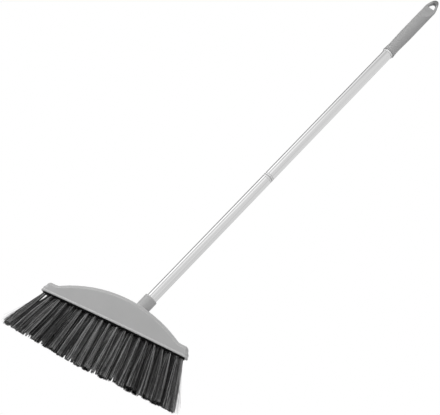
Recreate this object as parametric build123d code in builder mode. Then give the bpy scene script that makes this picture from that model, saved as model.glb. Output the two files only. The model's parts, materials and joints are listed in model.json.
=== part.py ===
"""Indoor broom: an arc-topped moulded head with tufts of bristles, on a two-section screwed handle."""

import os
from math import cos, radians, sin, sqrt, tan

from build123d import *

# Frame: the tips of the bristles lie on Z = 0, X runs along the head, and the front looks along -Y.
# All lengths are in millimetres and all angles in degrees.

# Head cover
head_width = 346.0
head_depth = 46.0
end_depth = 25.0
head_height = 60.0
skirt_height = 10.0
skirt_radius = 7.0
step_width = 4.0
step_radius = 4.0
shoulder_height = 23.0
shoulder_length = 29.0
shoulder_radius = 8.0
end_draft = 1.5
spring_radius = 14.0
edge_chamfer = 6.0
face_wall = 3.0
outline_wall = 5.0
pocket_depth = 10.0
rib_thickness = 2.0
rib_pitch = 48.0
rib_count = 6
lip_height = 4.0
lip_overhang = 1.0
lip_corner = 7.0
lip_chamfer = 0.8

# Bristles and the block that carries them
bristle_length = 109.0
block_drop = 3.0
block_rim = 1.75
strip_height = 5.0
row_count = 4
tuft_count = 19
row_stagger = 0.25
end_margin = 4.0
strand_sides = 3
strand_radius = 0.9
strand_gap = 0.4
strand_sink = 1.0
root_spread = 2.0
tip_spread = 4.8
left_flare = 25.0
right_flare = 17.5
flare_power = 1.4
row_flare = 0.3
left_tip_rise = 12.0
level_share = 0.3
anchor_length = 6.0
anchor_width = 0.6
anchor_height = 1.8

# Handle, which leans along the head: its tubes and the inserts in their ends
handle_lean = 16.75
handle_offset = 21.0
tube_radius = 12.5
tube_wall = 0.9
lower_tube_length = 399.0
upper_tube_show = 424.5
insert_length = 35.0
insert_wall = 3.0
washer_height = 1.0
thread_depth = 1.0

# Threaded socket in the head and the ferrule that screws into it
collar_stand = 26.8
collar_wall = 2.7
collar_chamfer = 1.2
sleeve_depth = 33.0
socket_floor = 4.0
head_thread_step = 2.5
head_thread_length = 28.0
ferrule_flange = 4.0

# Screwed joint between the two tubes
joint_flange = 5.0
joint_chamfer = 0.7
joint_thread_step = 2.6
joint_thread_length = 26.0

# Grip: walls are measured from the tube, and the parts of its end from the tip
grip_length = 187.5
grip_mouth_wall = 2.6
grip_neck_wall = 1.3
grip_neck_height = 20.0
grip_belly_wall = 2.5
grip_belly_height = 62.0
grip_neck_blend = 120.0
grip_end_length = 40.0
flat_thickness = 11.0
flat_length = 39.0
flat_run_out = 24.0
flat_blend = 25.0
tube_end_cover = 6.0
eye_from_tip = 26.0
eye_length = 17.0
eye_half_width = 8.0
eye_edge = 1.0
ring_height = 5.0
ring_wall = 0.7

# Clearances
fit_gap = 0.1
thread_gap = 0.3

# Heights of the head, from the floor
block_bottom = bristle_length
base_z = block_bottom + block_drop
seat_z = base_z + pocket_depth
strip_top = block_bottom + strip_height

# Heights along the handle, from where its axis meets the head's base
lean = radians(handle_lean)
collar_rim = head_height / cos(lean) + collar_stand
socket_seat = collar_rim - sleeve_depth
flange_low = socket_seat + washer_height
lower_tube_low = flange_low + ferrule_flange
lower_tube_high = lower_tube_low + lower_tube_length
joint_low = lower_tube_high + joint_flange
joint_high = joint_low + washer_height
upper_tube_low = joint_high + joint_flange
grip_mouth = upper_tube_low + upper_tube_show
grip_end = grip_mouth + grip_length
flat_low = grip_end - flat_length
flat_start = flat_low - flat_run_out
upper_tube_high = flat_start - tube_end_cover

# Radii of the handle
tube_bore = tube_radius - tube_wall
insert_bore = tube_bore - insert_wall
head_thread_radius = tube_radius - head_thread_step
joint_thread_radius = tube_bore - joint_thread_step
sleeve_radius = tube_radius + thread_gap
collar_radius = sleeve_radius + collar_wall
grip_belly_radius = tube_radius + grip_belly_wall

# Axis of the handle, and two planes whose second coordinate is the height along it
handle_foot = (handle_offset, 0, base_z)
along_handle = (sin(lean), 0, cos(lean))
across_handle = (cos(lean), 0, -sin(lean))
handle_axis = Axis(handle_foot, along_handle)
section = Plane(handle_foot, x_dir=across_handle, z_dir=(0, -1, 0))
side = Plane(handle_foot, x_dir=(0, 1, 0), z_dir=across_handle)

os.makedirs("parts", exist_ok=True)


def write(builder, name):
    """Label a finished piece and write it under its own name."""
    builder.part.label = name
    export_step(builder.part, f"parts/{name}.step")


def turned_ring(inner, outer, low, high):
    """A rectangle of the handle's section, between two radii and two heights, ready to be revolved."""
    with Locations(((inner + outer) / 2, (low + high) / 2)):
        Rectangle(outer - inner, high - low)


# Plan of the head: its front and back are bowed, deepest in the middle
half_width = head_width / 2
bow = (head_depth - end_depth) / 2
bow_radius = (half_width**2 + bow**2) / (2 * bow)


def half_depth(x, inset):
    """Half the depth of the head at x, less an inset from its bowed sides."""
    return head_depth / 2 - inset - bow_radius + sqrt(bow_radius**2 - x**2)


def bowed_line(length, inset, share):
    """A line along the head at a share of its half depth, which is straight only in the middle."""
    end_y = share * half_depth(length / 2, inset)
    ends = (-length / 2, end_y), (length / 2, end_y)
    if share:
        return ThreePointArc(ends[0], (0, share * half_depth(0, inset)), ends[1])
    return Line(*ends)


def bowed_plan(length, inset, low=-1, high=1):
    """The head's plan, cut to a length and drawn in by an inset, between two shares of its half depth."""
    with BuildLine() as outline:
        front = bowed_line(length, inset, low)
        back = bowed_line(length, inset, high)
        Line(front @ 0, back @ 0)
        Line(front @ 1, back @ 1)
    make_face(outline.edges())


# Front view of the cover: stepped ends, flat shoulders and an arc between them
skirt_z = base_z + skirt_height
step_x = half_width - step_width
step_z = skirt_z + step_width
shoulder_x = step_x - end_draft
spring_x = half_width - shoulder_length
shoulder_z = base_z + shoulder_height
with BuildSketch(Plane.XZ) as cover_outline:
    with BuildLine():
        ThreePointArc((spring_x, shoulder_z), (0, base_z + head_height), (-spring_x, shoulder_z))
        for end in (-1, 1):
            Polyline(
                (end * spring_x, shoulder_z),
                (end * shoulder_x, shoulder_z),
                (end * step_x, step_z),
                (end * half_width, skirt_z),
                (end * half_width, base_z),
                (0, base_z),
            )
    make_face()
    for corner_radius, corner_x, corner_z in (
        (spring_radius, spring_x, shoulder_z),
        (shoulder_radius, shoulder_x, shoulder_z),
        (step_radius, step_x, step_z),
        (skirt_radius, half_width, skirt_z),
    ):
        places = [Vector(end * corner_x, corner_z) for end in (-1, 1)]
        fillet([vertices().sort_by_distance(place)[0] for place in places], corner_radius)

# Room inside the cover: bays between ribs, over a pocket for the block
pocket_length = head_width - 2 * outline_wall
with BuildPart() as cover_room:
    with BuildSketch(Plane.XZ):
        add(cover_outline.sketch_local)
        offset(amount=-outline_wall, mode=Mode.REPLACE)
    extrude(amount=head_depth / 2, both=True)
    with BuildSketch(Plane.XY.offset(base_z)):
        bowed_plan(head_width, face_wall)
    extrude(amount=head_height, mode=Mode.INTERSECT)
    with BuildSketch(Plane.XY.offset(seat_z)):
        with GridLocations(rib_pitch, 1, rib_count, 1):
            Rectangle(rib_thickness, head_depth)
    extrude(amount=head_height, mode=Mode.SUBTRACT)
    with BuildSketch(Plane.XY.offset(base_z)):
        bowed_plan(pocket_length, face_wall)
    extrude(amount=pocket_depth)

# Cover: bowed outer form with bevelled edges, lip along the base, ribbed room, and the inclined socket
thread_floor = socket_seat - head_thread_length - thread_gap
with BuildPart() as head_cover:
    extrude(cover_outline.sketch, amount=head_depth / 2, both=True)
    with BuildSketch(Plane.XY.offset(base_z)):
        bowed_plan(head_width, 0)
    extrude(amount=head_height, mode=Mode.INTERSECT)
    front_to_back = faces().sort_by(Axis.Y)
    wall_edges = front_to_back[0].edges() + front_to_back[-1].edges()
    chamfer(wall_edges - faces().sort_by(Axis.Z)[0].edges(), edge_chamfer)
    with BuildSketch(Plane.XY.offset(base_z)):
        bowed_plan(head_width + 2 * lip_overhang, -lip_overhang)
        fillet(vertices(), lip_corner)
    lip = extrude(amount=lip_height, mode=Mode.PRIVATE)
    add(lip.chamfer(lip_chamfer, None, lip.faces().sort_by(Axis.Z)[-1].edges()))
    add(cover_room.part, mode=Mode.SUBTRACT)
    with BuildSketch(section):
        turned_ring(0, collar_radius, thread_floor - socket_floor, collar_rim)
    revolve(axis=handle_axis)
    with BuildSketch(section):
        turned_ring(0, head_thread_radius + thread_gap, thread_floor, socket_seat)
        turned_ring(0, sleeve_radius, socket_seat, collar_rim)
    revolve(axis=handle_axis, mode=Mode.SUBTRACT)
    chamfer(faces().sort_by(handle_axis)[-1].outer_wire().edges(), collar_chamfer)
write(head_cover, "head_cover")

# Block: it fills the cover's pocket and stands out below the lip, with a recess for the bristle strips
block_length = pocket_length - 2 * fit_gap
block_inset = face_wall + fit_gap
recess_length = block_length - 2 * block_rim
recess_inset = block_inset + block_rim
with BuildPart() as bristle_block:
    with BuildSketch(Plane.XY.offset(block_bottom)):
        bowed_plan(block_length, block_inset)
    extrude(amount=seat_z - block_bottom)
    with BuildSketch(Plane.XY.offset(block_bottom)):
        bowed_plan(recess_length, recess_inset)
    extrude(amount=strip_height, mode=Mode.SUBTRACT)
write(bristle_block, "bristle_block")

# Bristles: bowed rows of tufts, each tuft four strands that fan out towards the floor
end_tuft_x = recess_length / 2 - end_margin
tuft_pitch = end_tuft_x / ((tuft_count - 1) / 2 + row_stagger)


def row_pitch(x):
    """The distance between two rows at x."""
    return 2 * half_depth(x, recess_inset) / row_count


def tuft_places(row):
    """Where the tufts of a row are rooted: every second row is staggered against the first."""
    shift = row_stagger * tuft_pitch * (1 if row % 2 else -1)
    columns = [(column - (tuft_count - 1) / 2) * tuft_pitch + shift for column in range(tuft_count)]
    return [(x, (row - (row_count - 1) / 2) * row_pitch(x)) for x in columns]


def strand(root, tip):
    """A strand of a tuft, from its flat tip to its root in the strip."""
    with BuildPart() as bristle:
        with BuildSketch(Plane(tip)):
            RegularPolygon(strand_radius, strand_sides)
        extrude(amount=(root - tip).length, dir=root - tip)
    return bristle.part


def tuft(x, y):
    """The strands of the tuft rooted at (x, y): end tufts lean out, and left ones are cut higher."""
    outward = 1 if x > 0 else -1
    flare = (right_flare if x > 0 else left_flare) * (abs(x) / end_tuft_x) ** flare_power
    beyond_level = max(0, -x / end_tuft_x - level_share) / (1 - level_share)
    root = Vector(x, y, block_bottom + strand_sink)
    tip = Vector(
        x + outward * bristle_length * tan(radians(flare)),
        y * (1 + row_flare),
        left_tip_rise * beyond_level**2,
    )
    root_reach = row_pitch(x) / 2 - strand_gap - strand_radius
    tip_reach = row_pitch(x) * (1 + row_flare) / 2 - strand_gap - strand_radius
    strands = []
    for side_x in (-1, 1):
        for side_y in (-1, 1):
            root_shift = Vector(side_x * root_spread, side_y * root_reach)
            tip_shift = Vector(side_x * tip_spread, side_y * tip_reach)
            strands.append(strand(root + root_shift, tip + tip_shift))
    return strands


for row in range(row_count):
    places = tuft_places(row)
    with BuildPart() as bristle_row:
        with BuildSketch(Plane.XY.offset(block_bottom)):
            bowed_plan(recess_length, recess_inset, 2 * row / row_count - 1, 2 * (row + 1) / row_count - 1)
            offset(amount=-fit_gap, mode=Mode.REPLACE)
        extrude(amount=strip_height)
        with BuildSketch(Plane.XY.offset(strip_top)):
            with Locations(*places):
                Rectangle(anchor_length + 2 * fit_gap, anchor_width + 2 * fit_gap)
        extrude(amount=-(anchor_height + fit_gap), mode=Mode.SUBTRACT)
        add([bristle for place in places for bristle in tuft(*place)])
    write(bristle_row, f"bristle_row_{row + 1}")

# Anchors: a flat piece of wire across the root of every tuft
with BuildPart() as tuft_anchors:
    with BuildSketch(Plane.XY.offset(strip_top)):
        with Locations(*[place for row in range(row_count) for place in tuft_places(row)]):
            Rectangle(anchor_length, anchor_width)
    extrude(amount=-anchor_height)
write(tuft_anchors, "tuft_anchors")

# Washer on the seat of the head's socket
with BuildPart() as socket_washer:
    with BuildSketch(section):
        turned_ring(head_thread_radius + fit_gap, tube_radius, socket_seat, flange_low)
    revolve(axis=handle_axis)
write(socket_washer, "socket_washer")

# Ferrule at the foot of the handle: stud for the head's socket, flange, and a hollow body inside the tube
with BuildPart() as thread_ferrule:
    with BuildSketch(section):
        turned_ring(0, head_thread_radius - thread_depth, flange_low - head_thread_length, flange_low)
        turned_ring(0, tube_radius, flange_low, lower_tube_low)
        turned_ring(insert_bore, tube_bore, lower_tube_low, lower_tube_low + insert_length)
    revolve(axis=handle_axis)
write(thread_ferrule, "thread_ferrule")

# Lower tube and the threaded socket in its upper end
with BuildPart() as lower_tube:
    with BuildSketch(section):
        turned_ring(tube_bore, tube_radius, lower_tube_low, lower_tube_high)
    revolve(axis=handle_axis)
write(lower_tube, "lower_tube")

joint_bore = joint_thread_radius + thread_gap
with BuildPart() as joint_socket:
    with BuildSketch(section):
        turned_ring(joint_bore, tube_bore, lower_tube_high - insert_length, lower_tube_high)
        turned_ring(joint_bore, tube_radius, lower_tube_high, joint_low)
    revolve(axis=handle_axis)
    flange_edges = edges().filter_by(GeomType.CIRCLE).sort_by(SortBy.RADIUS)[-2:]
    chamfer(flange_edges.sort_by(handle_axis)[0], joint_chamfer)
write(joint_socket, "joint_socket")

# Washer between the two halves of the joint
with BuildPart() as joint_washer:
    with BuildSketch(section):
        turned_ring(joint_thread_radius + fit_gap, tube_radius - thread_gap, joint_low, joint_high)
    revolve(axis=handle_axis)
write(joint_washer, "joint_washer")

# Threaded plug in the lower end of the upper tube, and that tube
with BuildPart() as joint_plug:
    with BuildSketch(section):
        turned_ring(0, joint_thread_radius - thread_depth, joint_high - joint_thread_length, joint_high)
        turned_ring(0, tube_radius, joint_high, upper_tube_low)
        turned_ring(insert_bore, tube_bore, upper_tube_low, upper_tube_low + insert_length)
    revolve(axis=handle_axis)
    flange_edges = edges().filter_by(GeomType.CIRCLE).sort_by(SortBy.RADIUS)[-2:]
    chamfer(flange_edges.sort_by(handle_axis)[-1], joint_chamfer)
write(joint_plug, "joint_plug")

with BuildPart() as upper_tube:
    with BuildSketch(section):
        turned_ring(tube_bore, tube_radius, upper_tube_low, upper_tube_high)
    revolve(axis=handle_axis)
write(upper_tube, "upper_tube")

# Ring under the mouth of the grip
with BuildPart() as grip_ring:
    with BuildSketch(section):
        turned_ring(tube_radius, tube_radius + ring_wall, grip_mouth - ring_height, grip_mouth)
    revolve(axis=handle_axis)
write(grip_ring, "grip_ring")

# Grip: a turned form with a waist and a belly, flattened at its end round a D-shaped hanging eye
grip_mouth_radius = tube_radius + grip_mouth_wall
grip_shoulder = grip_end - grip_end_length
neck = Vector(tube_radius + grip_neck_wall, grip_mouth + grip_neck_height)
eye_low = grip_end - eye_from_tip
with BuildPart() as grip:
    with BuildSketch(section):
        with BuildLine():
            Polyline(
                (grip_mouth_radius, grip_mouth),
                neck,
                (grip_belly_radius, grip_mouth + grip_belly_height),
                (grip_belly_radius, grip_end),
                (0, grip_end),
                (0, grip_mouth),
                close=True,
            )
        make_face()
        fillet(vertices().sort_by_distance(neck)[0], grip_neck_blend)
    revolve(axis=handle_axis)
    with BuildSketch(section):
        turned_ring(0, tube_radius, grip_mouth, upper_tube_high)
    revolve(axis=handle_axis, mode=Mode.SUBTRACT)
    # the two flats of the end run out into the round grip
    with BuildSketch(side):
        with BuildLine():
            Polyline(
                (grip_belly_radius, flat_start),
                (flat_thickness / 2, flat_low),
                (flat_thickness / 2, grip_end),
                (grip_belly_radius, grip_end),
                close=True,
            )
        make_face()
        fillet(vertices().group_by(Axis.X)[0].sort_by(Axis.Y)[0], flat_blend)
        mirror(about=Plane.YZ)
    extrude(amount=grip_belly_radius, both=True, mode=Mode.SUBTRACT)
    # elliptical outline of the end
    with BuildSketch(section):
        turned_ring(-grip_belly_radius, grip_belly_radius, grip_shoulder, grip_end)
        with Locations((0, grip_shoulder)):
            Ellipse(grip_belly_radius, grip_end_length, mode=Mode.SUBTRACT)
    extrude(amount=grip_belly_radius, both=True, mode=Mode.SUBTRACT)
    # eye, with its flat side towards the hand
    with BuildSketch(section):
        with BuildLine():
            Line((-eye_half_width, eye_low), (eye_half_width, eye_low))
            EllipticalCenterArc((0, eye_low), eye_half_width, eye_length, arc_size=180)
        make_face()
    extrude(amount=flat_thickness, both=True, mode=Mode.SUBTRACT)
    eye_wires = [face.inner_wires()[0] for face in faces().filter_by(Axis.Y)]
    chamfer([edge for wire in eye_wires for edge in wire.edges()], eye_edge)
write(grip, "grip")
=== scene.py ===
"""Looks of the indoor broom: studio, materials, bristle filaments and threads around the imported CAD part."""

import json
import math
import random

import bpy
import numpy as np
from mathutils import Matrix, Vector


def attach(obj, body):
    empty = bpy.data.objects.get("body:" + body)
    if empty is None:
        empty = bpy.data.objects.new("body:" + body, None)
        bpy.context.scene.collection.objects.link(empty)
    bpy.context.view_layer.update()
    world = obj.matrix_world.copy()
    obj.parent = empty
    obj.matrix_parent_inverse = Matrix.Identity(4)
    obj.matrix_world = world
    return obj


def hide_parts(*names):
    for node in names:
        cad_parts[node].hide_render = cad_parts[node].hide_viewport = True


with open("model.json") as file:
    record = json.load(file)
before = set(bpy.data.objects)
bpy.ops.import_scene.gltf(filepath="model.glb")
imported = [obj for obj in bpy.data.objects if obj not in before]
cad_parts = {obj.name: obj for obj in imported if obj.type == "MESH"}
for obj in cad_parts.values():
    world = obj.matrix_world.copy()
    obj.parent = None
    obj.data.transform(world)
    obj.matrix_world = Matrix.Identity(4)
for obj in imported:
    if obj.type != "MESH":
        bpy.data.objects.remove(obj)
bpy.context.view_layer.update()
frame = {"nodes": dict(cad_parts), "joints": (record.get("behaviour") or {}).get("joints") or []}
nodes = frame["nodes"]
joints = {joint["name"]: joint for joint in frame["joints"]}
scene = bpy.context.scene

# Axis of the handle, from the joint that turns it, and the two directions across it
handle_axis = Vector(joints["handle_turn"]["axis"]).normalized()
handle_seat = Vector(joints["handle_turn"]["pos_m"])
handle_lean = math.atan2(handle_axis.x, handle_axis.z)
across_handle = Vector((handle_axis.z, 0.0, -handle_axis.x))
through_handle = Vector((0.0, 1.0, 0.0))

# Sizes shared with the part, in metres
head_width = 0.346
head_depth = 0.046
end_depth = 0.025
base_z = 0.112
lip_height = 0.004
block_bottom = 0.109
strip_height = 0.005
recess_length = 0.3323
recess_inset = 0.00485
row_count = 4
tuft_count = 19
row_stagger = 0.25
end_margin = 0.004
flare_power = 1.4
row_flare = 0.3

# Heights along the handle, in metres from its seat in the head
handle_middle = 0.45
eye_top = 1.018

# The head's front and back are bowed, and the rows of tufts follow them
bow = (head_depth - end_depth) / 2
bow_radius = ((head_width / 2) ** 2 + bow**2) / (2 * bow)
end_tuft_x = recess_length / 2 - end_margin
tuft_pitch = end_tuft_x / ((tuft_count - 1) / 2 + row_stagger)

# Lie of the tufts: the end ones lean out, the left ones are cut higher, and some stand a little out of line
left_flare = math.radians(21.0)
right_flare = math.radians(15.0)
left_tip_rise = 0.013
level_share = 0.15
first_tuft_gap = 0.0024
back_row_shift = 0.002

# Filaments of a tuft, gathered in locks: their numbers, their sizes, and how far they spread
locks_per_tuft = 48
lit_locks = 8
filaments_per_lock = 4
filament_sides = 3
filament_radius = 0.0003
filament_taper = 0.2
filament_shares = (0.0, 0.15, 0.4, 0.65, 0.92, 1.0)
root_sink = 0.0005
end_root_radius = 0.0027
front_root_radius = 0.0031
second_root_radius = 0.0040
back_root_radius = 0.0052
root_depth_share = 0.9
lock_root_share = 0.75
lit_lock_reach = 0.9
tuft_tip_reach = 0.0080
filament_tip_reach = 0.0008
filament_tip_depth = 0.4
early_spread = 0.08

# Raggedness of the bristles: the spreads of their random places, lengths and bends, in metres
row_seed = 500
tuft_sway = 0.0012
tuft_trim_spread = 0.0026
lock_trim_spread = 0.0018
filament_trim_spread = 0.0012
lock_bend_along = 0.0012
lock_bend_across = 0.0008
filament_bend = 0.0006

# Shades of the bristles, from 0 for black to 1 for pale
outer_row_shade = 0.30
# Inner rows are darker: painted shade where they lie behind the outer rows
inner_row_painted_shade = 0.16
# End tufts are paler: painted light where the lamps catch them
end_tuft_painted_light = 0.12
tuft_shade_spread = 0.03
lock_shade_spread = 0.34
filament_shade_spread = 0.28
# Lit locks in front of each tuft are paler: painted light
lit_lock_painted_light = 0.60
fray_shade = 0.10
fray_shade_spread = 0.15
# Ends of the filaments are paler, partly as flagged ends are and partly as painted light where the tips lie in
# shade
flagged_and_painted_tip_light = 0.26

# Broad wave of lighter and darker tufts along the head, in shares of the way to an end tuft
wave_shade = 0.15
wave_middle = 0.06
wave_length = 1.3

# Pale strays at both ends of the head
stray_count = 3
stray_reach = 0.007
stray_rise = 0.02
stray_bend = 0.004
stray_root_shade = 0.8
stray_tip_shade = 1.0

# Notches in the line of tips
notch_seed = 7
notch_count = 9
notch_depth = 0.009
notch_width = 0.0020
notch_chance = random.Random(notch_seed)
notch_places = [notch_chance.uniform(-0.5, 0.5) * head_width for number in range(notch_count)]

# Strips of block that the rows grow from, with a section of four corners, as the threads have
strip_gap = 0.0002
strip_segments = 24
section_corners = 4

# Threads on the studs: steps in a turn, turns to run out in, and half widths as shares of the pitch
thread_steps = 40
thread_run_out = 0.5
thread_foot_share = 0.36
thread_crest_share = 0.12

# Noise of the materials: the part of its range that is used, the height of its bumps, and cells to the metre
noise_span = (0.3, 0.7)
bump_height = 0.0002
cloud_scale = 22.0
sheen_scale = 140.0
grain_scale = 1800.0
bristle_scale = 300.0
floor_scale = 3.0

# Moulded plastic: how its roughness varies, and the cosines between which an edge turns to another grey, a
# painted highlight along rounded edges or painted shade in seams
sheen_spread = 0.05
bevel_samples = 6
painted_edge_span = (0.985, 0.925)

# Heights between which the cover gets a painted highlight at its lip, and the grip painted shade past its eye
lip_highlight_fade = (base_z + 0.5 * lip_height, base_z + 0.3 * lip_height)
lip_highlight_grey = 0.50
loop_shade_fade = (eye_top - 0.006, eye_top + 0.003)
loop_shade_grey = 0.17

# Drawn metal: lines along the handle
line_stretch = 0.004
broad_line_scale = 190.0
fine_line_scale = 900.0
line_span = (0.4, 0.6)
line_roughness = (0.10, 0.18)
line_bump = 0.08

# Bristle plastic: greys at some of the shades
grey_shades = (0.0, 0.4, 0.75, 1.0)
bristle_greys = (0.012, 0.070, 0.210, 0.500)
bristle_roughness = (0.42, 0.58)

# Camera of the photograph: sensor in millimetres, lens in pixels, place, and the picture's right and top
sensor_width = 36.0
photo_width = 440
focal_pixels = 927.1
camera_eye = Vector((0.43851, -1.91403, -0.20836))
camera_right = Vector((0.90171, 0.01651, 0.43202))
camera_up = Vector((-0.39742, -0.36179, 0.84331))

# Studio: a pale floor just under the bristle tips, white surroundings, and cards that the tube reflects
floor_place = (0.1, 0.0, -0.0005)
floor_size = 60.0
floor_greys = (0.49, 0.51)
floor_roughness = 0.9
floor_glow = 0.40
ambient_light = 0.50
card_distance = 0.5
card_low = -0.2
card_high = 1.9
card_fade = (0.6, 1.15)
head_middle = Vector((0.0, 0.0, 0.14))
back_lamp_place = Vector((0.6, 2.4, 1.6))


def grey_colour(grey):
    """A grey as an opaque colour."""
    return (grey, grey, grey, 1.0)


class Shading:
    """The shader nodes of a material or of the world, with short ways to add, set and link them."""

    def __init__(self, owner, output, shader):
        self.owner = owner
        owner.use_nodes = True
        self.tree = owner.node_tree
        self.tree.nodes.clear()
        self.output = self.add(output)
        self.shader = self.add(shader)
        self.show(self.shader)

    def add(self, kind, **settings):
        """Add a node, with some of its properties set."""
        node = self.tree.nodes.new(kind)
        for name, value in settings.items():
            setattr(node, name, value)
        return node

    def link(self, source, target):
        """Link an output of one node to an input of another."""
        self.tree.links.new(source, target)

    def show(self, shader):
        """Show a shader on the surface."""
        self.link(shader.outputs[0], self.output.inputs["Surface"])

    def set(self, name, value):
        """Set an input of the main shader."""
        self.shader.inputs[name].default_value = value

    def feed(self, name, source):
        """Link an output to an input of the main shader."""
        self.link(source, self.shader.inputs[name])

    def frame_place(self):
        """Coordinates of the frame, which go with a piece when it moves."""
        return self.add("ShaderNodeTexCoord").outputs["Object"]

    def handle_place(self):
        """Coordinates of the handle: across it, through it, and along its axis from its seat in the head."""
        mapping = self.add("ShaderNodeMapping", vector_type="TEXTURE")
        mapping.inputs["Location"].default_value = handle_seat
        mapping.inputs["Rotation"].default_value = (0.0, handle_lean, 0.0)
        self.link(self.frame_place(), mapping.inputs["Vector"])
        return mapping.outputs["Vector"]

    def height(self, place):
        """The third coordinate of a place."""
        split = self.add("ShaderNodeSeparateXYZ")
        self.link(place, split.inputs["Vector"])
        return split.outputs["Z"]

    def noise(self, place, scale, detail=3.0):
        """A noise over a place."""
        noise = self.add("ShaderNodeTexNoise")
        noise.inputs["Scale"].default_value = scale
        noise.inputs["Detail"].default_value = detail
        self.link(place, noise.inputs["Vector"])
        return noise.outputs["Fac"]

    def ramp(self, factor, positions, greys):
        """A ramp that has its greys at some positions of a factor."""
        ramp = self.add("ShaderNodeValToRGB")
        elements = ramp.color_ramp.elements
        while len(elements) < len(greys):
            elements.new(0.5)
        for element, position, grey in zip(elements, positions, greys):
            element.position = position
            element.color = grey_colour(grey)
        self.link(factor, ramp.inputs["Fac"])
        return ramp.outputs["Color"]

    def map_range(self, value, span, result):
        """Map a value from its span to a range of results."""
        node = self.add("ShaderNodeMapRange")
        node.inputs["From Min"].default_value = span[0]
        node.inputs["From Max"].default_value = span[1]
        node.inputs["To Min"].default_value = result[0]
        node.inputs["To Max"].default_value = result[1]
        self.link(value, node.inputs["Value"])
        return node.outputs["Result"]

    def bump(self, height, strength, normal=None):
        """Raise the surface by a height, on top of another normal if there is one."""
        bump = self.add("ShaderNodeBump")
        bump.inputs["Strength"].default_value = strength
        bump.inputs["Distance"].default_value = bump_height
        self.link(height, bump.inputs["Height"])
        if normal is not None:
            self.link(normal, bump.inputs["Normal"])
        self.feed("Normal", bump.outputs["Normal"])

    def fade_to(self, grey, factor):
        """Mix the colour that the main shader has so far with a grey, by a factor."""
        mix = self.add("ShaderNodeMix", data_type="RGBA")
        colours = [socket for socket in mix.inputs if socket.type == "RGBA"]
        mixed = next(socket for socket in mix.outputs if socket.type == "RGBA")
        self.link(factor, mix.inputs[0])
        self.link(self.shader.inputs["Base Color"].links[0].from_socket, colours[0])
        colours[1].default_value = grey_colour(grey)
        self.feed("Base Color", mixed)

    def mix_shaders(self, factor, first, second):
        """Mix two shaders by a factor."""
        mix = self.add("ShaderNodeMixShader")
        self.link(factor, mix.inputs["Fac"])
        self.link(first.outputs[0], mix.inputs[1])
        self.link(second.outputs[0], mix.inputs[2])
        return mix


def new_material(name, shader="ShaderNodeBsdfPrincipled"):
    """The shading of a new material."""
    return Shading(bpy.data.materials.new(name), "ShaderNodeOutputMaterial", shader)


def moulded_plastic(name, dark, light, roughness, grain, edge_radius, painted_edge_brightness=1.25):
    """Moulded plastic: faint clouds in its colour, fine grain, and softly rounded edges painted another grey:
    a painted highlight where paler, painted shade where darker.
    """
    plastic = new_material(name)
    place = plastic.frame_place()
    clouds = plastic.noise(place, cloud_scale)
    plastic.feed("Base Color", plastic.ramp(clouds, noise_span, (dark, light)))
    sheen = plastic.noise(place, sheen_scale)
    rough = plastic.map_range(sheen, noise_span, (roughness - sheen_spread, roughness + sheen_spread))
    plastic.feed("Roughness", rough)
    bevel = plastic.add("ShaderNodeBevel", samples=bevel_samples)
    bevel.inputs["Radius"].default_value = edge_radius
    rounded = bevel.outputs["Normal"]
    plastic.bump(plastic.noise(place, grain_scale, detail=2.0), grain, rounded)
    flatness = plastic.add("ShaderNodeVectorMath", operation="DOT_PRODUCT")
    plastic.link(rounded, flatness.inputs[0])
    plastic.link(plastic.add("ShaderNodeNewGeometry").outputs["True Normal"], flatness.inputs[1])
    # Edges get a painted highlight where they turn paler and painted shade where they turn darker
    edge = plastic.map_range(flatness.outputs["Value"], painted_edge_span, (0.0, 1.0))
    plastic.fade_to(painted_edge_brightness * light, edge)
    return plastic


def cover_moulding():
    """Grey plastic of the head cover, with a painted highlight on its lip's bead and along its edges."""
    plastic = moulded_plastic(
        "grey_moulding",
        dark=0.375,
        light=0.395,
        roughness=0.46,
        grain=0.10,
        edge_radius=0.0025,
        # Strong painted highlight along the rounded edges
        painted_edge_brightness=1.5,
    )
    height = plastic.height(plastic.frame_place())
    # Painted highlight on the lip's bead
    plastic.fade_to(lip_highlight_grey, plastic.map_range(height, lip_highlight_fade, (0.0, 1.0)))
    return plastic


def grip_moulding():
    """Grey plastic of the grip, with painted shade at the end of its loop."""
    plastic = moulded_plastic(
        "grey_grip", dark=0.350, light=0.370, roughness=0.5, grain=0.08, edge_radius=0.0012
    )
    height = plastic.height(plastic.handle_place())
    # Painted shade on the loop's end past the eye
    plastic.fade_to(loop_shade_grey, plastic.map_range(height, loop_shade_fade, (0.0, 1.0)))
    return plastic


def block_moulding():
    """Black plastic of the bristle block, with hardly any shine."""
    plastic = moulded_plastic(
        "black_block", dark=0.004, light=0.007, roughness=0.7, grain=0.15, edge_radius=0.0004
    )
    plastic.set("Specular IOR Level", 0.1)
    return plastic


def joint_moulding():
    """Silver plastic of the joint's flanges, with painted shade in the seams at their edges."""
    plastic = moulded_plastic(
        "joint_silver",
        dark=0.60,
        light=0.64,
        roughness=0.25,
        grain=0.05,
        edge_radius=0.0008,
        # Painted shade in the seams at the flanges' edges
        painted_edge_brightness=0.75,
    )
    plastic.set("Metallic", 0.6)
    return plastic


def drawn_metal(name, dark, light):
    """Bright drawn metal: fine lines along its length, in its colour, its roughness and its surface."""
    metal = new_material(name)
    stretch = metal.add("ShaderNodeMapping")
    stretch.inputs["Scale"].default_value = (1.0, 1.0, line_stretch)
    metal.link(metal.handle_place(), stretch.inputs["Vector"])
    place = stretch.outputs["Vector"]
    broad = metal.noise(place, broad_line_scale, detail=2.0)
    fine = metal.noise(place, fine_line_scale)
    metal.feed("Base Color", metal.ramp(broad, line_span, (dark, light)))
    metal.feed("Roughness", metal.map_range(fine, noise_span, line_roughness))
    metal.bump(fine, line_bump)
    metal.set("Metallic", 1.0)
    return metal


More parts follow.
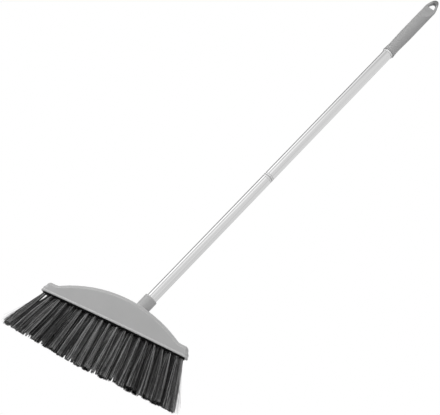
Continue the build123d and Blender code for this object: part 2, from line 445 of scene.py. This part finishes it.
def bristle_plastic():
    """Dark plastic of the filaments, each of which has its own shade."""
    plastic = new_material("bristle")
    shade = plastic.add("ShaderNodeAttribute", attribute_name="shade").outputs["Fac"]
    plastic.feed("Base Color", plastic.ramp(shade, grey_shades, bristle_greys))
    rough = plastic.noise(plastic.frame_place(), bristle_scale)
    plastic.feed("Roughness", plastic.map_range(rough, noise_span, bristle_roughness))
    return plastic


def dress(shading, *names):
    """Give CAD nodes a material."""
    for name in names:
        mesh = nodes[name].data
        mesh.materials.clear()
        mesh.materials.append(shading.owner)


def camera():
    """Camera of the photograph."""
    lens = bpy.data.cameras.new("camera")
    lens.sensor_width = sensor_width
    lens.lens = sensor_width * focal_pixels / photo_width
    holder = bpy.data.objects.new("camera", lens)
    back = camera_right.cross(camera_up)
    turned = Matrix((camera_right, camera_up, back)).transposed().to_4x4()
    holder.matrix_world = Matrix.Translation(camera_eye) @ turned
    scene.collection.objects.link(holder)
    scene.camera = holder


def floor():
    """Pale floor, white in reflections, that only shows from above: the photograph looks up past it."""
    bpy.ops.mesh.primitive_plane_add(size=floor_size, location=floor_place)
    plane = bpy.context.object
    plane.name = "floor"
    paint = new_material("floor_paint")
    clouds = paint.noise(paint.frame_place(), floor_scale)
    paint.feed("Base Color", paint.ramp(clouds, noise_span, floor_greys))
    paint.set("Roughness", floor_roughness)
    path = paint.add("ShaderNodeLightPath")
    glow = paint.add("ShaderNodeEmission")
    glow.inputs["Color"].default_value = grey_colour(floor_glow)
    paint.link(path.outputs["Is Camera Ray"], glow.inputs["Strength"])
    paler = paint.add("ShaderNodeAddShader")
    paint.link(paint.shader.outputs["BSDF"], paler.inputs[0])
    paint.link(glow.outputs["Emission"], paler.inputs[1])
    white = paint.add("ShaderNodeEmission")
    reflected = paint.mix_shaders(path.outputs["Is Glossy Ray"], paler, white)
    underside = paint.add("ShaderNodeNewGeometry").outputs["Backfacing"]
    paint.show(paint.mix_shaders(underside, reflected, paint.add("ShaderNodeBsdfTransparent")))
    plane.data.materials.append(paint.owner)


def surroundings():
    """White surroundings, which light the object less than they show."""
    world = bpy.data.worlds.new("studio")
    scene.world = world
    sky = Shading(world, "ShaderNodeOutputWorld", "ShaderNodeBackground")
    sky.set("Color", grey_colour(1.0))
    sky.set("Strength", ambient_light)
    seen = sky.add("ShaderNodeBackground")
    seen.inputs["Color"].default_value = grey_colour(1.0)
    seen.inputs["Strength"].default_value = 1.0
    path = sky.add("ShaderNodeLightPath")
    shown = path.outputs["Is Camera Ray"]
    for ray in ("Is Glossy Ray", "Is Transmission Ray"):
        either = sky.add("ShaderNodeMath", operation="MAXIMUM")
        sky.link(shown, either.inputs[0])
        sky.link(path.outputs[ray], either.inputs[1])
        shown = either.outputs["Value"]
    sky.show(sky.mix_shaders(shown, sky.shader, seen))


def away_from_handle(azimuth):
    """The direction away from the handle: azimuth 0 is across it, and minus 90 degrees is in front of it."""
    return math.cos(azimuth) * across_handle + math.sin(azimuth) * through_handle


def around_handle(azimuth, distance, height):
    """A point beside the handle, at a height along it."""
    return handle_seat + handle_axis * height + away_from_handle(azimuth) * distance


def lamp(name, place, target, width, height, power, spread=math.pi):
    """A soft rectangular lamp that faces a point, as upright as it can be, and that no metal reflects."""
    light = bpy.data.lights.new(name, "AREA")
    light.shape = "RECTANGLE"
    light.size = width
    light.size_y = height
    light.energy = power
    light.spread = spread
    holder = bpy.data.objects.new(name, light)
    holder.location = place
    holder.rotation_euler = (target - place).to_track_quat("-Z", "Y").to_euler()
    holder.visible_glossy = False
    scene.collection.objects.link(holder)


def reflected_card(name, azimuth, half_angle, low_grey, high_grey):
    """A card along the handle that shows only as a line in the bright tube, and fades towards its top."""
    corners = [
        around_handle(azimuth + side * half_angle, card_distance, height)
        for side, height in ((-1, card_low), (1, card_low), (1, card_high), (-1, card_high))
    ]
    mesh = bpy.data.meshes.new(name)
    mesh.from_pydata(corners, [], [(0, 1, 2, 3)])
    paint = new_material(name, "ShaderNodeEmission")
    paint.owner.cycles.emission_sampling = "NONE"
    paint.set("Color", grey_colour(1.0))
    height = paint.height(paint.handle_place())
    paint.feed("Strength", paint.map_range(height, card_fade, (low_grey, high_grey)))
    mesh.materials.append(paint.owner)
    card = bpy.data.objects.new(name, mesh)
    card.visible_camera = False
    card.visible_diffuse = False
    card.visible_transmission = False
    card.visible_shadow = False
    scene.collection.objects.link(card)


def lamps():
    """Soft lamps: the key from the left, one from the front and one from behind."""
    handle_aim = around_handle(0.0, 0.0, handle_middle)
    lamp(
        "key",
        around_handle(math.radians(-160.0), distance=4.0, height=1.2),
        head_middle,
        width=2.2,
        height=2.2,
        power=9.5,
        spread=math.radians(50.0),
    )
    lamp(
        "front",
        around_handle(math.radians(-77.0), distance=3.0, height=1.6),
        handle_aim,
        width=2.4,
        height=2.0,
        power=13.5,
        spread=math.radians(90.0),
    )
    lamp("back", back_lamp_place, handle_aim, width=2.0, height=2.0, power=16.0)


def reflected_cards():
    """Dark and bright lines along the tube."""
    reflected_card("frame", math.radians(153.6), math.radians(15.0), low_grey=0.32, high_grey=0.05)
    reflected_card("far_wall", math.radians(80.0), math.radians(22.0), low_grey=0.82, high_grey=0.68)
    reflected_card("key_softbox", math.radians(-160.4), math.radians(14.0), low_grey=1.90, high_grey=1.15)
    reflected_card("front_softbox", math.radians(-111.0), math.radians(14.0), low_grey=1.42, high_grey=0.78)


def row_pitch(x):
    """The distance between two rows at x."""
    half_depth = head_depth / 2 - recess_inset - bow_radius + math.sqrt(bow_radius**2 - x**2)
    return 2 * half_depth / row_count


def row_y(row, x):
    """The middle of a row at x."""
    return (row - (row_count - 1) / 2) * row_pitch(x)


def tuft_x(row, column):
    """Where a tuft stands along its row: the rows are staggered, and a few tufts are shifted a little."""
    stagger = row_stagger if row % 2 else -row_stagger
    x = (column - (tuft_count - 1) / 2 + stagger) * tuft_pitch
    if column == 0:
        return x if row % 2 else x - first_tuft_gap
    if row < row_count / 2:
        return x
    return x + back_row_shift * min(1.0, 1.0 - x / end_tuft_x)


def tuft_root_radius(row, column):
    """How wide a tuft is at its root: the first ones are narrow, and those of the back rows wide."""
    if column == 0:
        return end_root_radius
    if row >= row_count / 2:
        return back_root_radius
    return second_root_radius if row else front_root_radius


def tuft_tip(x, y):
    """Where the middle of a tuft ends: end tufts lean out, and left ones are cut higher."""
    flare = (right_flare if x > 0 else left_flare) * (abs(x) / end_tuft_x) ** flare_power
    beyond_level = max(0.0, -x / end_tuft_x - level_share) / (1 - level_share)
    reach = math.copysign(block_bottom * math.tan(flare), x)
    return Vector((x + reach, y * (1 + row_flare), left_tip_rise * beyond_level))


def notch(tip):
    """How much shorter a filament is at a notch, which runs through the rows in line with the photograph."""
    sight = tip.y / (tip.y - camera_eye.y)
    along = tip.x + (camera_eye.x - tip.x) * sight
    nearest = min(abs(along - place) for place in notch_places)
    return max(0.0, notch_depth * (1 - nearest / notch_width))


def disc_point(chance):
    """A random point of the unit disc."""
    angle = 2 * math.pi * chance.random()
    reach = math.sqrt(chance.random())
    return reach * math.cos(angle), reach * math.sin(angle)


def ring_faces(start, ring_count, sides):
    """The faces between rings of vertices that follow one another from a start."""
    faces = []
    for ring in range(ring_count - 1):
        here = start + ring * sides
        for corner in range(sides):
            after = (corner + 1) % sides
            faces.append((here + corner, here + sides + corner, here + sides + after, here + after))
    return faces


def cap_faces(start, ring_count, sides):
    """The faces that close the first and the last of such rings."""
    last = start + (ring_count - 1) * sides
    return [tuple(range(start, start + sides)), tuple(reversed(range(last, last + sides)))]


class Tuft:
    """A tuft of bristles: where it stands and ends, how far it spreads, its trim and its shade."""

    def __init__(self, chance, x, y, root_radius, shade):
        self.x = x
        self.y = y
        self.middle = tuft_tip(x, y)
        self.middle.x += chance.gauss(0, tuft_sway)
        self.trim = abs(chance.gauss(0, tuft_trim_spread))
        wave = math.cos(2 * math.pi * (x / end_tuft_x - wave_middle) / wave_length)
        self.shade = chance.gauss(shade, tuft_shade_spread) + wave_shade * wave
        self.tip_depth = row_pitch(x) / 2
        self.root_depth = min(root_radius, root_depth_share * self.tip_depth)
        self.root_radius = root_radius


class FilamentMesh:
    """Vertices, faces and shades of a row of bristles."""

    def __init__(self):
        self.verts = []
        self.faces = []
        self.shades = []

    def add_filament(self, root, tip, bend, turn, root_shade, tip_shade):
        """A thin tapering filament that bends to one side on its way, with a flat end that is paler, partly as
        flagged ends are and partly by painted light.
        """
        start = len(self.verts)
        for share in filament_shares:
            shade = root_shade + (tip_shade - root_shade) * share + flagged_and_painted_tip_light * (share == 1.0)
            swing = 4 * share * (1 - share)
            middle = root.lerp(tip, share) + bend * swing
            radius = filament_radius * (1.0 - filament_taper * share)
            for corner in range(filament_sides):
                angle = turn + 2 * math.pi * corner / filament_sides
                self.verts.append(middle + Vector((radius * math.cos(angle), radius * math.sin(angle), 0.0)))
                self.shades.append(min(max(shade, 0.0), 1.0))
        self.faces += ring_faces(start, len(filament_shares), filament_sides)
        self.faces.append(tuple(range(len(self.verts) - filament_sides, len(self.verts))))

    def add_lock(self, chance, tuft, lit):
        """A lock of filaments with its own place, length, bend and shade; a lit one lies in front and gets
        painted light.
        """
        lock_x, lock_y = disc_point(chance)
        if lit:
            lock_x, lock_y = lit_lock_reach * lock_x, -lit_lock_reach
        trim = tuft.trim + abs(chance.gauss(0, lock_trim_spread))
        lock_shade = tuft.shade + chance.gauss(0, lock_shade_spread)
        # Painted light on a lit lock
        painted_lock_light = lit_lock_painted_light * chance.random() ** 2 if lit else 0.0
        lock_bend = Vector((chance.gauss(0, lock_bend_along), chance.gauss(0, lock_bend_across), 0.0))
        fray = max(0.0, chance.gauss(fray_shade, fray_shade_spread))
        own_root_share = 1.0 - lock_root_share
        for number in range(filaments_per_lock):
            own_x, own_y = disc_point(chance)
            root = Vector((
                tuft.x + tuft.root_radius * (lock_root_share * lock_x + own_root_share * own_x),
                tuft.y + tuft.root_depth * (lock_root_share * lock_y + own_root_share * own_y),
                block_bottom + root_sink,
            ))
            tip = Vector((
                tuft.middle.x + tuft_tip_reach * lock_x + filament_tip_reach * own_x,
                tuft.middle.y + tuft.tip_depth * (lock_y + filament_tip_depth * own_y),
                tuft.middle.z + trim + abs(chance.gauss(0, filament_trim_spread)),
            ))
            tip.z += notch(tip)
            bend = lock_bend + Vector((chance.gauss(0, filament_bend), chance.gauss(0, filament_bend), 0.0))
            # Filaments spread a little early on their way down, so they bow out from the tuft's middle
            bend.x += early_spread * ((tip.x - tuft.middle.x) - (root.x - tuft.x))
            bend.y += early_spread * ((tip.y - tuft.middle.y) - (root.y - tuft.y))
            shade = lock_shade + chance.gauss(0, filament_shade_spread)
            turn = 2 * math.pi * chance.random()
            self.add_filament(root, tip, bend, turn, shade + painted_lock_light, shade + fray)

    def add_stray(self, chance, row, side):
        """A pale filament that has worked loose at one end of the head: side is 1 for the right end."""
        x = side * end_tuft_x
        y = row_y(row, x)
        tip = tuft_tip(x, y)
        tip.x += side * (tuft_tip_reach + stray_reach * chance.random())
        tip.z += stray_rise * chance.random()
        bend = Vector((-side * stray_bend * chance.random(), 0.0, 0.0))
        root = Vector((x + side * end_root_radius, y, block_bottom + root_sink))
        turn = 2 * math.pi * chance.random()
        self.add_filament(root, tip, bend, turn, stray_root_shade, stray_tip_shade)

    def add_strip(self, row):
        """The bowed slice of the block that the row grows from."""
        start = len(self.verts)
        for segment in range(strip_segments + 1):
            x = (segment / strip_segments - 0.5) * (recess_length - strip_gap)
            for edge, z in ((0, strip_height), (1, strip_height), (1, 0.0), (0, 0.0)):
                y = (row + edge - row_count / 2) * row_pitch(x)
                self.verts.append(Vector((x, y, block_bottom + z)))
                self.shades.append(0.0)
        self.faces += ring_faces(start, strip_segments + 1, section_corners)
        self.faces += cap_faces(start, strip_segments + 1, section_corners)


def bristle_row(row, filament, block):
    """One row of tufts as thin filaments, with the strip of block that they grow from."""
    chance = random.Random(row_seed + row)
    bristles = FilamentMesh()
    # Inner rows get painted shade
    row_shade = inner_row_painted_shade if 0 < row < row_count - 1 else outer_row_shade
    for column in range(tuft_count):
        x = tuft_x(row, column)
        # End tufts get painted light
        shade = row_shade + end_tuft_painted_light * (column in (0, tuft_count - 1))
        tuft = Tuft(chance, x, row_y(row, x), tuft_root_radius(row, column), shade)
        for lock in range(locks_per_tuft):
            bristles.add_lock(chance, tuft, lit=lock < lit_locks)
    for side in (1, -1):
        for stray in range(stray_count):
            bristles.add_stray(chance, row, side)
    filament_faces = len(bristles.faces)
    bristles.add_strip(row)
    mesh = bpy.data.meshes.new(f"filaments_row_{row + 1}")
    mesh.from_pydata(bristles.verts, [], bristles.faces)
    mesh.materials.append(filament.owner)
    mesh.materials.append(block.owner)
    for polygon in mesh.polygons:
        of_filament = polygon.index < filament_faces
        polygon.use_smooth = of_filament and len(polygon.vertices) > filament_sides
        polygon.material_index = 0 if of_filament else 1
    attribute = mesh.attributes.new("shade", "FLOAT", "POINT")
    attribute.data.foreach_set("value", np.array(bristles.shades, dtype=np.float32))
    piece = bpy.data.objects.new(f"filaments_row_{row + 1}", mesh)
    scene.collection.objects.link(piece)
    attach(piece, "head")
    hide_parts(f"bristle_row_{row + 1}")


def thread(name, joint, plastic, core, crest, pitch, low, high):
    """A helical ridge on a stud, between two heights from its joint, which runs out at both ends."""
    seat = Vector(joint["pos_m"])
    steps = round((high - low) / pitch * thread_steps)
    run_out_steps = thread_run_out * thread_steps
    foot = thread_foot_share * pitch
    top = thread_crest_share * pitch
    verts = []
    for step in range(steps + 1):
        outward = away_from_handle(2 * math.pi * step / thread_steps)
        run_out = min(1.0, step / run_out_steps, (steps - step) / run_out_steps)
        ridge = core + (crest - core) * run_out
        height = low + (high - low) * step / steps
        for radius, rise in ((core, -foot), (ridge, -top), (ridge, top), (core, foot)):
            verts.append(seat + outward * radius + handle_axis * (height + rise))
    faces = ring_faces(0, steps + 1, section_corners) + cap_faces(0, steps + 1, section_corners)
    mesh = bpy.data.meshes.new(name)
    mesh.from_pydata(verts, [], faces)
    mesh.materials.append(plastic.owner)
    piece = bpy.data.objects.new(name, mesh)
    scene.collection.objects.link(piece)
    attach(piece, joint["child"])
    return piece


# Studio
scene.view_settings.view_transform = "Standard"
camera()
floor()
surroundings()
lamps()
reflected_cards()

# Materials
cover_plastic = cover_moulding()
grip_plastic = grip_moulding()
block_plastic = block_moulding()
ring_plastic = moulded_plastic(
    "pale_ring", dark=0.72, light=0.76, roughness=0.3, grain=0.05, edge_radius=0.0004
)
joint_plastic = joint_moulding()
ferrule_plastic = moulded_plastic(
    "ferrule", dark=0.05, light=0.06, roughness=0.45, grain=0.1, edge_radius=0.0003
)
rubber = moulded_plastic(
    "washer_rubber", dark=0.15, light=0.17, roughness=0.75, grain=0.3, edge_radius=0.0002
)
anchor_steel = drawn_metal("anchor_wire", dark=0.42, light=0.50)
tube_metal = drawn_metal("bright_tube", dark=0.54, light=0.67)
filament_plastic = bristle_plastic()

# CAD pieces
dress(cover_plastic, "head_cover")
dress(grip_plastic, "grip")
dress(block_plastic, "bristle_block")
dress(ring_plastic, "grip_ring")
dress(joint_plastic, "joint_socket", "joint_plug")
dress(ferrule_plastic, "thread_ferrule")
dress(rubber, "socket_washer", "joint_washer")
dress(anchor_steel, "tuft_anchors")
dress(tube_metal, "lower_tube", "upper_tube")

# Bristles in place of the CAD strands
for row in range(row_count):
    bristle_row(row, filament_plastic, block_plastic)

# Threads on both studs, below their seats
head_thread = thread(
    "head_thread",
    joints["handle_turn"],
    ferrule_plastic,
    core=0.009,
    crest=0.0099,
    pitch=0.005,
    low=-0.025,
    high=-0.001,
)
joint_thread = thread(
    "joint_thread",
    joints["section_turn"],
    joint_plastic,
    core=0.008,
    crest=0.0089,
    pitch=0.004,
    low=-0.023,
    high=-0.001,
)

bpy.context.view_layer.update()
